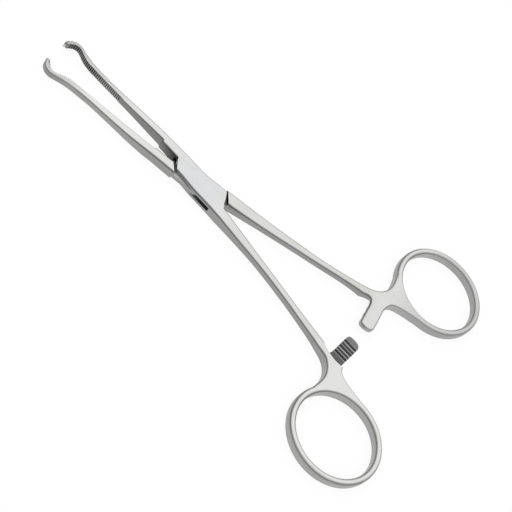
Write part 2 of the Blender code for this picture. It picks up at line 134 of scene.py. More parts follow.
# The box half's flared side, as parts of the cheek's far corner, and its shank-side cheek edge
FLARE_EDGE_SHARES = ((0.957, 0.985), (0.65, 0.75), (0.32, 0.35), (-0.07, 0.025), (-0.72, -0.025))
CHEEK_EDGE_SHARES = ((0.26, 0.215), (0.52, 0.535))

# Edges of the two shanks, as parts of the way along and parts of the way out to the neck
BOX_SHANK_OUTER_SHARES = ((0.07, 0.02), (0.22, 0.08), (0.38, 0.16), (0.53, 0.295), (0.69, 0.49),
                          (0.84, 0.715), (0.97, 0.93))
BOX_SHANK_INNER_SHARES = ((0.19, 0.15), (0.35, 0.31), (0.50, 0.46), (0.66, 0.63), (0.82, 0.795),
                          (0.95, 0.93))
THROUGH_SHANK_OUTER_SHARES = ((0.07, 0.05), (0.22, 0.16), (0.38, 0.275), (0.53, 0.40), (0.69, 0.535),
                              (0.84, 0.75), (0.97, 0.96))
THROUGH_SHANK_INNER_SHARES = ((0.19, 0.20), (0.35, 0.37), (0.50, 0.535), (0.66, 0.70), (0.82, 0.88),
                              (0.95, 0.99))

# The neck's two edges round the ratchet arm's foot
NECK_OUTER_SHARES = ((0.56, 0.10), (0.85, 0.25), (1.02, 0.45), (1.06, 0.70))
NECK_INNER_SHARES = ((0.26, 0.045), (0.57, 0.145), (0.80, 0.28), (0.925, 0.51))

# Ratchet teeth. Each has a steep face that leans a little, a flat crest, a long slope, and a small ridge
# at the slope's foot, from whose top the valley floor falls to the next tooth. Past the last crest the
# arm runs on to its end, lower by the lead's drop.
RATCHET_TEETH = 3
TOOTH_PITCH = 2.53
FIRST_TOOTH = 4.6
RATCHET_TOOTH_DEPTH = 0.6
RATCHET_PLAY = 0.06
CREST_LEAN = 0.1
CREST_LAND = 0.42
VALLEY_FLOOR = 0.45
RIDGE = 0.24
TOOTH_GAP = 0.02
TOOTH_RISE = 0.2
LEAD_DROP = 0.08

# Ratchet arm, how far its teeth reach from its middle, and how far it is cleared down to them.
# Its free end is drawn in widths across and back from it.
RATCHET_X = 62.7
RATCHET_WIDTH = 4.5
RATCHET_OVERLAP = 2.6
RATCHET_ROOT = 9.2
RATCHET_ROOT_RADIUS = 10.0
TOOTH_REACH = 0.8 * RATCHET_WIDTH
CLEARED_INWARD = 1.6 * RATCHET_WIDTH
CLEARED_OUTWARD = 3.1
ARM_END_SHARES = ((0.556, 0.356), (0.456, 0.111), (0.211, 0.0), (-0.211, 0.0), (-0.422, 0.111),
                  (-0.478, 0.356))
ARM_ROOT_SHARES = ((-0.044, 0.65), (-0.156, 0.76), (-0.422, 0.80), (-0.80, 0.76))

# Rounding of the forging's edges. The last two are for lower edges, which are crisper along the jaws
# and along the box half's shank.
BODY_ROUND = 0.7
TIP_ROUND = 0.3
HOOK_ROUND = 0.62
HOOK_INNER_ROUND = 0.25
JAW_INNER_ROUND = 0.5
THROUGH_INNER_ROUND = 0.35
RING_ROUND = 0.93
CHEEK_ROUND = 0.12
GRIP_LOWER_ROUND = 0.15
LOWER_ROUND = 0.35

# Distances from the ring's neck between which the ring's rounding grows in, as parts of the hole's width
RING_ROUND_SHARES = (0.125, 0.74)

# Angles between two faces, in degrees: one plane, a smooth bend, and a corner that is rounded
PLANE_ANGLE = 0.05
SMOOTH_ANGLE = 32
CORNER_ANGLE = 50

# How near an edge or a face lies to the line that it belongs to
BESIDE_INNER_EDGE = 0.12
BESIDE_GRIP = 0.55
BESIDE_RIM = 0.15

# Fineness of the curves, the rings, the roundings and the thinning
CURVE_STEPS = 8
RING_STEPS = 104
HOLE_STEPS = 120
SWEEP_STEPS = 96
ROUND_STEPS = 5
TAPER_STEPS = 5

# How far a cutting tool reaches past the steel
FAR = 4.0


# Pieces and nodes

def new_object(name, mesh):
    piece = bpy.data.objects.new(name, mesh)
    bpy.context.scene.collection.objects.link(piece)
    return piece


def evaluated_mesh(piece):
    """The mesh of a piece with its modifiers carried out."""
    bpy.context.view_layer.update()
    return bpy.data.meshes.new_from_object(piece.evaluated_get(bpy.context.evaluated_depsgraph_get()))


def apply_modifiers(piece):
    result = evaluated_mesh(piece)
    piece.modifiers.clear()
    piece.data = result


def weld(mesh):
    """Joins points that lie together and turns every face outward."""
    bm = bmesh.new()
    bm.from_mesh(mesh)
    bmesh.ops.remove_doubles(bm, verts=bm.verts, dist=1e-5)
    bmesh.ops.recalc_face_normals(bm, faces=bm.faces)
    bm.to_mesh(mesh)
    bm.free()


def combine(target, tool, operation):
    """Carries out one Boolean on the target's mesh and removes the tool."""
    step = target.modifiers.new(operation.title(), "BOOLEAN")
    step.operation = operation
    step.solver = "MANIFOLD"
    step.object = tool
    apply_modifiers(target)
    bpy.data.objects.remove(tool)


def plate(name, loops, low, high):
    """A flat plate from closed outlines in XY: the first is its edge, the others are holes."""
    curve = bpy.data.curves.new(name, "CURVE")
    curve.dimensions = "2D"
    curve.fill_mode = "BOTH"
    curve.extrude = (high - low) / 2
    for loop in loops:
        spline = curve.splines.new("POLY")
        spline.points.add(len(loop) - 1)
        for point, (x, y) in zip(spline.points, loop):
            point.co = (x, y, 0.0, 1.0)
        spline.use_cyclic_u = True
    source = new_object(name, curve)
    mesh = evaluated_mesh(source)
    bpy.data.objects.remove(source)
    bpy.data.curves.remove(curve)
    mesh.transform(Matrix.Translation((0, 0, (low + high) / 2)))
    weld(mesh)
    return new_object(name, mesh)


def cylinder(name, radius, low, high):
    """An upright cylinder about the pivot."""
    bm = bmesh.new()
    bmesh.ops.create_cone(bm, cap_ends=True, segments=PIN_SIDES, radius1=radius, radius2=radius,
                          depth=high - low)
    bmesh.ops.translate(bm, verts=bm.verts, vec=(0, 0, (low + high) / 2))
    mesh = bpy.data.meshes.new(name)
    bm.to_mesh(mesh)
    bm.free()
    return new_object(name, mesh)


def add_node(tree, kind, inputs=None, **settings):
    """A new node with its settings; each input takes a value or is wired to another node's output."""
    node = tree.nodes.new(kind)
    for setting, value in settings.items():
        setattr(node, setting, value)
    for name, value in (inputs or {}).items():
        if isinstance(value, bpy.types.NodeSocket):
            tree.links.new(value, node.inputs[name])
        else:
            node.inputs[name].default_value = value
    return node


# Lines in the plan

def smooth(points):
    """Points along one smooth curve that passes through the given ones."""
    knots = [Vector((x, y, 0.0)) for x, y in points]
    last = len(knots) - 1
    along = []
    for i in range(len(knots)):
        before = knots[max(i - 1, 0)]
        after = knots[min(i + 1, last)]
        along.append((after - before).normalized())
    curve = []
    for i in range(last):
        reach = (knots[i + 1] - knots[i]).length / 3.0
        start = knots[i] + along[i] * reach
        end = knots[i + 1] - along[i + 1] * reach
        curve += interpolate_bezier(knots[i], start, end, knots[i + 1], CURVE_STEPS + 1)[:-1]
    curve.append(knots[last])
    return [(p.x, p.y) for p in curve]


def between(start, end, parts):
    """Points given as parts of the way along and across from one point to another."""
    run = end[0] - start[0]
    rise = end[1] - start[1]
    return [(start[0] + run * along, start[1] + rise * across) for along, across in parts]


def ellipse_arc(centre, radii, start, end, steps):
    """Points on an ellipse between two angles given in degrees."""
    points = []
    for i in range(steps + 1):
        angle = math.radians(start + (end - start) * i / steps)
        points.append((centre[0] + radii[0] * math.cos(angle),
                       centre[1] + radii[1] * math.sin(angle)))
    return points


def whole_ellipse(centre, radii, steps):
    """Points all the way round an ellipse."""
    return ellipse_arc(centre, radii, 0.0, 360.0, steps)[:-1]


def ease(value, start, end):
    """0 before the start and 1 after the end, rising smoothly between them."""
    part = min(max((value - start) / (end - start), 0.0), 1.0)
    return part * part * (3.0 - 2.0 * part)


def run_beside(place, line, reach):
    """Direction of the stretch of a line that a point lies beside, or None if it is further than reach."""
    for (x0, y0), (x1, y1) in zip(line, line[1:]):
        run = Vector((x1 - x0, y1 - y0))
        if run.length < 1e-6:
            continue
        offset = Vector((place.x - x0, place.y - y0))
        along = min(max(offset.dot(run) / run.length_squared, 0.0), 1.0)
        if (offset - run * along).length < reach:
            return run.normalized()
    return None


def beside(start, end, start_gap, end_gap, overrun):
    """A line set off sideways from another, turned over with the through half, and run on at both ends."""
    run = Vector((end[0] - start[0], start[1] - end[1]))
    side = Vector((-run.y, run.x)).normalized()
    first = Vector((start[0], -start[1])) + side * start_gap - run * overrun
    last = Vector((end[0], -end[1])) + side * end_gap + run * overrun
    return tuple(first), tuple(last)


# Outlines of the two halves

def jaw_at(part):
    """Place along the jaw, as a part of the way from the hook's foot to the lock."""
    foot = -JAW_LENGTH + HOOK_FOOT
    return foot + part * (-CHEEK_JAW_END - foot)


def jaw_inner(tip_gap):
    """Inner face of a jaw, from the lock out to the tip."""
    foot = (jaw_at(0.0), 0.9 * GRIP_GAP)
    hook = (-JAW_LENGTH + HOOK_REACH, HOOK_RISE)
    nose = (-JAW_LENGTH + TIP_WIDTH, tip_gap)
    face = [(STEP - LOCK_GAP, THROAT_GAP), (jaw_at(0.55), 0.6 * THROAT_GAP + 0.4 * GRIP_GAP),
            (jaw_at(0.28), 1.1 * GRIP_GAP), foot]
    face += between(foot, hook, HOOK_INNER_SHARES) + [hook]
    face += between(hook, nose, NOSE_INNER_SHARES) + [nose]
    return [(STEP, LOCK_GAP)] + smooth(face)


def jaw_outer(tip_gap, lock_width):
    """Outer side of a jaw, from the tip back to the lock."""
    grip = GRIP_GAP + GRIP_WIDTH
    root = THROAT_GAP + JAW_ROOT_WIDTH
    crown = (-JAW_LENGTH + HOOK_REACH, HOOK_RISE + HOOK_WIDTH)
    foot = (jaw_at(0.0), 0.987 * grip)
    side = [(-JAW_LENGTH, tip_gap)] + between((-JAW_LENGTH, 0.0), crown, NOSE_OUTER_SHARES) + [crown]
    side += between(crown, foot, HOOK_BACK_SHARES) + [foot]
    side += [(jaw_at(0.18), grip), (jaw_at(0.435), (grip + root) / 2), (jaw_at(0.62), 0.943 * root),
             (jaw_at(0.914), 0.987 * lock_width), (jaw_at(1.0), lock_width)]
    return smooth(side)


def ring_outline():
    """Outer edge of the finger ring, from one side of the neck right round to the other."""
    radii = (HOLE_LENGTH / 2 + RING_BAND, HOLE_WIDTH / 2 + RING_BAND)
    return ellipse_arc((RING_X, -RING_Y), radii, RING_START, RING_END, RING_STEPS)


def handle_outer(shank, swell):
    """Outer edge of the shank from the lock to the neck, then round the finger ring."""
    ring = ring_outline()
    lock_end = (CHEEK_SHANK_END, -1.04 * BOX_HALF_WIDTH - swell)
    neck_start = (RATCHET_X - NECK_RUN, -NECK_DEPTH)
    edge = [(SLOT_END, -BOX_HALF_WIDTH - swell), lock_end]
    edge += between(lock_end, neck_start, shank)
    edge += [neck_start] + between(neck_start, ring[0], NECK_OUTER_SHARES) + ring[:1]
    return smooth(edge) + ring[1:]


def handle_inner(shank):
    """From the ring round the ratchet arm and along the shank's inner edge to the lock."""
    left = RATCHET_X - RATCHET_WIDTH / 2
    right = RATCHET_X + RATCHET_WIDTH / 2
    ring_end = ring_outline()[-1]
    arm_foot = (right, -0.74 * RATCHET_ROOT)
    neck = smooth([ring_end] + between(ring_end, arm_foot, NECK_INNER_SHARES) + [arm_foot])
    free_end = [(RATCHET_X + across * RATCHET_WIDTH, RATCHET_OVERLAP - back * RATCHET_WIDTH)
                for across, back in ARM_END_SHARES]
    arm = smooth([(right, -0.65 * RATCHET_ROOT)] + free_end
                 + [(left - 0.02 * RATCHET_WIDTH, -0.54 * RATCHET_ROOT)])
    root = [(left + across * RATCHET_WIDTH, -down * RATCHET_ROOT) for across, down in ARM_ROOT_SHARES]
    lock_end = (1.16 * CHEEK_SHANK_END, -0.86 * LOCK_GAP)
    root += list(reversed(between(lock_end, root[-1], shank))) + [lock_end]
    return neck[1:] + arm + smooth(root)


def cheek_edges():
    """Ends of the cheek's edge toward the jaw, and of its edge toward the shank."""
    jaw_edge = [(-CHEEK_JAW_END, 0.77 * LOCK_GAP), (-CHEEK_JAW_END + CHEEK_SLANT, -0.84 * BOX_HALF_WIDTH)]
    shank_edge = [(CHEEK_SHANK_END, -0.04 * BOX_HALF_WIDTH),
                  (CHEEK_SHANK_END - CHEEK_LEAN, BOX_HALF_WIDTH + BOX_FLARE)]
    return jaw_edge, shank_edge


def box_outline():
    """Outline of the box half: the cheeks span the whole lock."""
    cheek_jaw, (shank_start, corner) = cheek_edges()
    lock_width = 0.98 * BOX_HALF_WIDTH
    near_side = [(-0.48 * CHEEK_JAW_END, -0.867 * BOX_HALF_WIDTH), (0.0, -0.987 * BOX_HALF_WIDTH)]
    cheek_shank = smooth([shank_start] + between(shank_start, corner, CHEEK_EDGE_SHARES) + [corner])
    flare = [(along * corner[0], BOX_HALF_WIDTH + out * BOX_FLARE) for along, out in FLARE_EDGE_SHARES]
    far_side = smooth(flare + [(-0.915 * CHEEK_JAW_END, lock_width)])
    outer = jaw_outer(TIP_GAP, lock_width)
    handle = handle_outer(BOX_SHANK_OUTER_SHARES, 0.0) + handle_inner(BOX_SHANK_INNER_SHARES)
    return outer + (cheek_jaw + near_side + handle + cheek_shank + far_side)[::-1] + jaw_inner(TIP_GAP)


def through_outline():
    """Outline of the through half: jaw and shank joined by the slanting tenon."""
    slant_in = [(-1.085 * CHEEK_JAW_END, 0.94 * LOCK_GAP),
                (-0.053 * CHEEK_JAW_END, -1.013 * BOX_HALF_WIDTH)]
    slant_out = [(0.051 * CHEEK_SHANK_END, 1.058 * THROUGH_HALF_WIDTH),
                 (1.05 * CHEEK_SHANK_END, -0.08 * BOX_HALF_WIDTH)]
    handle = handle_outer(THROUGH_SHANK_OUTER_SHARES, SHOULDER_SWELL)
    handle += handle_inner(THROUGH_SHANK_INNER_SHARES)
    outer = jaw_outer(-PRONG_LENGTH, THROUGH_HALF_WIDTH)
    return outer + slant_out + (slant_in + handle)[::-1] + jaw_inner(-PRONG_LENGTH)


# Rounding and thinning of a forging

def body_round(place):
    """Radius of the forging's upper edges at a place, away from the jaws' inner edges and the hooks."""
    jaw_edge, shank_edge = cheek_edges()
    on_jaw_edge = jaw_edge[0][0] - CHEEK_ROUND < place.x < jaw_edge[1][0] + CHEEK_ROUND
    on_shank_edge = shank_edge[1][0] - CHEEK_ROUND < place.x < shank_edge[0][0] + CHEEK_ROUND
    if on_jaw_edge and place.y < THROAT_GAP or on_shank_edge and place.y > shank_edge[0][1] - CHEEK_ROUND:
        return CHEEK_ROUND
    ring_top = -RING_Y + HOLE_WIDTH / 2 + RING_BAND
    if place.x > RATCHET_X - 0.67 * RATCHET_WIDTH and place.y < ring_top + CHEEK_ROUND:
        neck = Vector((RATCHET_X + 0.61 * RATCHET_WIDTH, ring_top - RING_ROUND))
        near, far = (share * HOLE_WIDTH for share in RING_ROUND_SHARES)
        grown = ease((place.xy - neck).length, near, far)
        return BODY_ROUND + (RING_ROUND - BODY_ROUND) * grown
    return TIP_ROUND + (BODY_ROUND - TIP_ROUND) * ease(place.x, -JAW_LENGTH + TIP_WIDTH, jaw_at(0.0))


def lower_round(radius):
    """Radius of the box half's lower edges behind the step, crisper than above away from the ring."""
    if radius <= BODY_ROUND:
        return min(radius, LOWER_ROUND)
    return LOWER_ROUND + (RING_ROUND - LOWER_ROUND) * (radius - BODY_ROUND) / (RING_ROUND - BODY_ROUND)


def edge_round(place, upward):
    """Radius that an edge of a forging has at a place; upward is 1 or -1, as in forging."""
    radius = body_round(place)
    on_top = place.z * upward > 0
    if place.x > STEP:
        return radius if on_top or upward < 0 else lower_round(radius)
    hook_end = jaw_at(0.0)
    if run_beside(place, jaw_inner(TIP_GAP), BESIDE_INNER_EDGE):
        past_hook = ease(place.x, hook_end - 0.5 * HOOK_REACH, hook_end)
        top_round = JAW_INNER_ROUND if upward > 0 else THROUGH_INNER_ROUND
        inner = top_round if on_top else GRIP_LOWER_ROUND
        return HOOK_INNER_ROUND + (inner - HOOK_INNER_ROUND) * past_hook
    hooked = radius + (HOOK_ROUND - radius) * (1.0 - ease(place.x, hook_end - HOOK_REACH, hook_end))
    return hooked if on_top else min(hooked, LOWER_ROUND)


def merge_flat_faces(mesh):
    """Joins faces in one plane, apart from the seam that halves the finger ring."""
    bm = bmesh.new()
    bm.from_mesh(mesh)
    everything = list(bm.verts) + list(bm.edges) + list(bm.faces)
    bmesh.ops.bisect_plane(bm, geom=everything, dist=1e-4, plane_co=(RING_X, 0, 0), plane_no=(1, 0, 0))
    flat = []
    for edge in bm.edges:
        if len(edge.link_faces) == 2 and edge.calc_face_angle() < math.radians(PLANE_ANGLE):
            a, b = edge.verts
            on_seam = abs(a.co.x - RING_X) < 1e-3 and abs(b.co.x - RING_X) < 1e-3
            if not on_seam:
                flat.append(edge)
    bmesh.ops.dissolve_edges(bm, edges=flat, use_verts=False)
    straight = [v for v in bm.verts if len(v.link_edges) == 2]
    bmesh.ops.dissolve_verts(bm, verts=straight)
    bm.to_mesh(mesh)
    bm.free()


def round_edges(body, upward):
    """Rounds the edges between a level face and an upright wall, each by its own radius."""
    mesh = body.data
    bm = bmesh.new()
    bm.from_mesh(mesh)
    weight = bm.edges.layers.float.new("bevel_weight_edge")
    for edge in bm.edges:
        if len(edge.link_faces) != 2 or edge.calc_face_angle() < math.radians(CORNER_ANGLE):
            continue
        wall, level = sorted(abs(face.normal.z) for face in edge.link_faces)
        if level > 0.9 and wall < 0.1:
            middle = (edge.verts[0].co + edge.verts[1].co) / 2
            edge[weight] = edge_round(middle, upward) / RING_ROUND
    bm.to_mesh(mesh)
    bm.free()
    step = body.modifiers.new("Rounding", "BEVEL")
    step.limit_method = "WEIGHT"
    step.width = RING_ROUND
    step.segments = ROUND_STEPS
    step.use_clamp_overlap = False
    step.loop_slide = False
    apply_modifiers(body)


def thickness_stations():
    """Half thicknesses of the forging along its length, from the tip to the ring."""
    body = BODY_THICK / 2
    jaw = JAW_THICK / 2
    shank = SHANK_THICK / 2
    lock_jaw = jaw_at(0.93)
    lock_shank = 1.12 * CHEEK_SHANK_END
    arm = RATCHET_X - 0.61 * RATCHET_WIDTH
    grip_end = jaw_at(TAPER_SHARE)
    thin_from = lock_shank + 0.38 * (arm - lock_shank)
    thin_to = lock_shank + 0.67 * (arm - lock_shank)
    stations = []
    for start, end, thin, share in ((grip_end, lock_jaw, jaw, lambda part: ease(part, 0.0, 1.0)),
                                    (lock_shank, thin_from, shank, lambda part: (1.0 - part) ** 2),
                                    (thin_to, arm, shank, lambda part: part ** 3)):
        for i in range(TAPER_STEPS + 1):
            part = i / TAPER_STEPS
            stations.append((start + part * (end - start), thin + (body - thin) * share(part)))
    return stations


def taper(mesh):
    """Thins the rounded plate to the forging's thickness, flat between neighbouring stations."""
    stations = thickness_stations()
    places = [x for x, _ in stations]
    halves = [half for _, half in stations]
    bm = bmesh.new()
    bm.from_mesh(mesh)
    for x in places:
        everything = list(bm.verts) + list(bm.edges) + list(bm.faces)
        bmesh.ops.bisect_plane(bm, geom=everything, dist=1e-5, plane_co=(x, 0, 0), plane_no=(1, 0, 0))
    for vertex in bm.verts:
        vertex.co.z *= float(np.interp(vertex.co.x, places, halves)) * 2 / BODY_THICK
    bm.to_mesh(mesh)
    bm.free()


def forging(name, outline, upward):
    """One half before its lock, teeth and serrations are cut. Upward is 1, or -1 for the half that is
    turned over afterwards."""
    hole = whole_ellipse((RING_X, -RING_Y), (HOLE_LENGTH / 2, HOLE_WIDTH / 2), HOLE_STEPS)
    body = plate(name, [outline, hole], -BODY_THICK / 2, BODY_THICK / 2)
    merge_flat_faces(body.data)
    round_edges(body, upward)
    taper(body.data)
    return body


# Serrations and ratchet teeth

def geometry_tree(name, taken, given_back, sizes):
    """A new geometry tree, the outputs of its input node, and the identifiers of its named sizes."""
    tree = bpy.data.node_groups.new(name, "GeometryNodeTree")
    tree.interface.new_socket(name=taken, in_out="INPUT", socket_type="NodeSocketGeometry")
    tree.interface.new_socket(name=given_back, in_out="OUTPUT", socket_type="NodeSocketGeometry")
    identifiers = {}
    for size, kind in sizes.items():
        socket = tree.interface.new_socket(name=size, in_out="INPUT", socket_type="NodeSocket" + kind)
        identifiers[size] = socket.identifier
    return tree, tree.nodes.new("NodeGroupInput").outputs, identifiers


def finish_tree(tree, copies, steel):
    """Ends a geometry tree: its copies become real geometry of one steel."""
    real = add_node(tree, "GeometryNodeRealizeInstances", {"Geometry": copies})
    finished = add_node(tree, "GeometryNodeSetMaterial", {"Geometry": real.outputs[0], "Material": steel})
    add_node(tree, "NodeGroupOutput", {0: finished.outputs[0]})


def run_tree(name, piece, tree, identifiers, sizes):
    """Sets a tree's named sizes on a piece and replaces the piece by the plain mesh that comes out."""
    step = piece.modifiers.new(tree.name, "NODES")
    step.node_group = tree
    for size, value in sizes.items():
        step[identifiers[size]] = value
    mesh = evaluated_mesh(piece)
    bpy.data.objects.remove(piece)
    return new_object(name, mesh)


def groove_tree():
    """Sets three-sided bars square across a line, one every pitch, their sharp edges into the steel."""
    sizes = {"Pitch": "Float", "Depth": "Float", "Spread": "Float", "Bar length": "Float"}
    tree, given, identifiers = geometry_tree("serration_grooves", "Grip line", "Grooves", sizes)
    places = add_node(tree, "GeometryNodeCurveToPoints",
                      {"Curve": given["Grip line"], "Length": given["Pitch"]}, mode="LENGTH")
    bar = add_node(tree, "GeometryNodeMeshCone", {"Vertices": 3, "Radius Top": 1.0, "Radius Bottom": 1.0,
                                                  "Depth": given["Bar length"]})
    half_back = add_node(tree, "ShaderNodeMath", {0: given["Bar length"], 1: -0.5}, operation="MULTIPLY")
    offset = add_node(tree, "ShaderNodeCombineXYZ", {"Z": half_back.outputs[0]})
    centred = add_node(tree, "GeometryNodeTransform",
                       {"Geometry": bar.outputs["Mesh"], "Translation": offset.outputs[0]})
    square = add_node(tree, "FunctionNodeAlignRotationToVector", {"Vector": places.outputs["Tangent"]},
                      axis="Y", pivot_axis="Z")
    scale = add_node(tree, "ShaderNodeCombineXYZ", {"X": given["Depth"], "Y": given["Spread"], "Z": 1.0})
    row = add_node(tree, "GeometryNodeInstanceOnPoints",
                   {"Points": places.outputs["Points"], "Instance": centred.outputs["Geometry"],
                    "Rotation": square.outputs["Rotation"], "Scale": scale.outputs[0]})
    finish_tree(tree, row.outputs["Instances"], serrated_steel)
    return tree, identifiers


def grip_grooves(depth):
    """The row of bars that cuts the cross serrations of one jaw."""
    face = [p for p in jaw_inner(TIP_GAP)[1:-CURVE_STEPS] if p[0] < jaw_at(SERRATED_SHARE)]
    curve = bpy.data.curves.new("grip_line", "CURVE")
    curve.dimensions = "3D"
    spline = curve.splines.new("POLY")
    spline.points.add(len(face) - 1)
    for point, (x, y) in zip(spline.points, face):
        point.co = (x, y, 0.0, 1.0)
    half_side = math.cos(math.radians(30))
    grooves = run_tree("grip_grooves", new_object("grip_line", curve), *groove_tree(), {
        "Pitch": SERRATION_PITCH, "Depth": depth, "Bar length": 2 * JAW_THICK,
        "Spread": SERRATION_SHARE * SERRATION_PITCH / 2 / half_side})
    weld(grooves.data)
    return grooves


def stand_on_arm(piece):
    """Turns a profile drawn along the arm and up into its place across the ratchet arm."""
    piece.data.transform(Matrix(((0, 0, 1, 0), (1, 0, 0, 0), (0, 1, 0, 0), (0, 0, 0, 1))))
    return piece


def tooth_row_tree():
    """Repeats one ratchet tooth along the arm."""
    sizes = {"Teeth": "Int", "Pitch": "Float"}
    tree, given, identifiers = geometry_tree("ratchet_tooth_row", "Tooth", "Tooth row", sizes)
    step = add_node(tree, "ShaderNodeCombineXYZ", {"Y": given["Pitch"]})
    places = add_node(tree, "GeometryNodeMeshLine", {"Count": given["Teeth"], "Offset": step.outputs[0]})
    row = add_node(tree, "GeometryNodeInstanceOnPoints",
                   {"Points": places.outputs["Mesh"], "Instance": given["Tooth"]})
    finish_tree(tree, row.outputs["Instances"], ratchet_steel)
    return tree, identifiers


def ridge_profile(end, valley):
    """The ridge at the start of a valley floor, given where the floor ends, as points along and up."""
    floor = end - VALLEY_FLOOR
    top = valley + 2 * RIDGE / 3
    return [(floor - RIDGE, valley - RIDGE / 3), (floor, top), (floor + RIDGE / 3, top)]


def tooth_row():
    """All ratchet teeth of one arm."""
    crest = -RATCHET_PLAY
    valley = crest - RATCHET_TOOTH_DEPTH
    base = valley - RATCHET_TOOTH_DEPTH
    start = -FIRST_TOOTH
    last = start + TOOTH_PITCH - TOOTH_GAP
    outline = [(start, base), (start, valley), (start + CREST_LEAN, crest), (start + CREST_LAND, crest)]
    outline += ridge_profile(last, valley) + [(last, valley), (last, base)]
    sides = (RATCHET_X - TOOTH_REACH, RATCHET_X + TOOTH_REACH)
    tooth = stand_on_arm(plate("ratchet_tooth", [outline], *sides))
    sizes = {"Teeth": RATCHET_TEETH, "Pitch": TOOTH_PITCH}
    return run_tree("ratchet_teeth", tooth, *tooth_row_tree(), sizes)


def ratchet_cutter():
    """Clears the upper half of the ratchet arm down to its teeth, with a rounded root."""
    valley = -RATCHET_PLAY - RATCHET_TOOTH_DEPTH
    floor = valley - RIDGE / 2
    lead = -RATCHET_PLAY - LEAD_DROP
    end = RATCHET_OVERLAP + FAR
    back = -RATCHET_ROOT - FAR
    first = -FIRST_TOOTH
    lead_start = first + (RATCHET_TEETH - 1) * TOOTH_PITCH + CREST_LAND
    (ridge_start, _), *ridge = ridge_profile(first, valley)
    profile = [(back, BODY_THICK), (back, valley),
               (ridge_start - 0.1 * RIDGE, valley), (ridge_start, floor), *ridge,
               (first - TOOTH_GAP, valley), (first - TOOTH_GAP, floor), (lead_start, floor),
               (lead_start + TOOTH_RISE, lead), (end, lead), (end, BODY_THICK)]
    sides = (RATCHET_X - CLEARED_INWARD, RATCHET_X + CLEARED_OUTWARD)
    cutter = stand_on_arm(plate("ratchet_cutter", [profile], *sides))
    combine(cutter, tooth_row(), "DIFFERENCE")
    centre = (RATCHET_X, RATCHET_ROOT_RADIUS - RATCHET_ROOT)
    swept = whole_ellipse(centre, (RATCHET_ROOT_RADIUS, RATCHET_ROOT_RADIUS), SWEEP_STEPS)
    combine(cutter, plate("root_sweep", [swept], -FAR, FAR), "INTERSECT")
    return cutter


# The two halves

def make_box_half():
    half = forging("box_half", box_outline(), 1)
    slot_half = TENON_THICK / 2 + TENON_PLAY
    wide = 2 * BOX_HALF_WIDTH
    slot = [(-0.66 * CHEEK_JAW_END, 1.4 * BOX_HALF_WIDTH), (-1.15 * CHEEK_JAW_END, -0.13 * BOX_HALF_WIDTH),
            (-CHEEK_JAW_END, -wide), (0.833 * SLOT_END, -wide), (0.958 * SLOT_END, -1.08 * BOX_HALF_WIDTH),
            (1.1 * CHEEK_SHANK_END, 0.107 * BOX_HALF_WIDTH), (CHEEK_SHANK_END, wide),
            (-0.66 * CHEEK_JAW_END, wide)]
    combine(half, plate("slot", [slot], -slot_half, slot_half), "DIFFERENCE")
    combine(half, cylinder("pin_bore", PIN_RADIUS + PIN_FIT, -BODY_THICK, BODY_THICK), "DIFFERENCE")
    tip = -JAW_LENGTH
    seat = HOOK_RISE / 4
    tooth = [(tip + 0.07 * TIP_WIDTH, seat), (tip + 0.045 * TIP_WIDTH, -0.6 * TOOTH_LENGTH),
             (tip + 0.22 * TIP_WIDTH, -TOOTH_LENGTH), (tip + 0.435 * TIP_WIDTH, -TOOTH_LENGTH),
             (tip + 0.91 * TIP_WIDTH, seat)]
    combine(half, plate("tip_tooth", [tooth], -TOOTH_THICK / 2, TOOTH_THICK / 2), "UNION")
    combine(half, grip_grooves(SERRATION_DEPTH), "DIFFERENCE")
    combine(half, ratchet_cutter(), "DIFFERENCE")
    return half


def make_through_half():
    half = forging("through_half", through_outline(), -1)
    tenon = TENON_THICK / 2
    wide = 2 * BOX_HALF_WIDTH
    jaw_edge, shank_edge = cheek_edges()
    jaw_side = beside(*jaw_edge, JAW_GAP_INNER, JAW_GAP_OUTER, JAW_OVERRUN)
    shank_side = beside(*shank_edge, SHANK_GAP_INNER, SHANK_GAP_OUTER, SHANK_OVERRUN)
    recess = [*jaw_side, (0.51 * CHEEK_SHANK_END, wide), *shank_side, (-0.53 * CHEEK_JAW_END, -wide)]
    combine(half, plate("upper_recess", [recess], tenon, BODY_THICK), "DIFFERENCE")
    combine(half, plate("lower_recess", [recess], -BODY_THICK, -tenon), "DIFFERENCE")
    combine(half, cylinder("pivot_bore", PIN_RADIUS + PIN_PLAY, -BODY_THICK, BODY_THICK), "DIFFERENCE")
    notch_half = TOOTH_THICK / 2 + NOTCH_CLEARANCE
    left = -JAW_LENGTH - TIP_WIDTH
    notch = [(left, -TIP_WIDTH), (-JAW_LENGTH + 2.0 * TIP_WIDTH, -TIP_WIDTH),
             (-JAW_LENGTH + 1.4 * TIP_WIDTH, NOTCH_DEPTH), (left, NOTCH_DEPTH)]
    combine(half, plate("tip_notch", [notch], -notch_half, notch_half), "DIFFERENCE")
    combine(half, grip_grooves(THROUGH_SERRATION_DEPTH), "DIFFERENCE")
    combine(half, ratchet_cutter(), "DIFFERENCE")
    return half


# Satin finish of the steel, with light and shade painted into its colour

def grain(tree, features, detail, roughness, turn=(0.0, 0.0, 0.0)):
    """Noise with so many features a metre along each axis of the piece."""
    place = add_node(tree, "ShaderNodeTexCoord").outputs["Object"]
    stretched = add_node(tree, "ShaderNodeMapping", {"Vector": place, "Scale": features, "Rotation": turn})
    noise = add_node(tree, "ShaderNodeTexNoise", {"Vector": stretched.outputs["Vector"], "Scale": 1.0,
                                                  "Detail": detail, "Roughness": roughness})
    return noise.outputs["Fac"]


def ramp(tree, value, stops):
    """A colour read off a row of stops by a value from 0 to 1."""
    node = add_node(tree, "ShaderNodeValToRGB", {"Fac": value})
    elements = node.color_ramp.elements
    while len(elements) < len(stops):
        elements.new(0.5)
    for element, (place, colour) in zip(elements, stops):
        element.position = place
        element.color = (*colour, 1.0)
    return node.outputs["Color"]


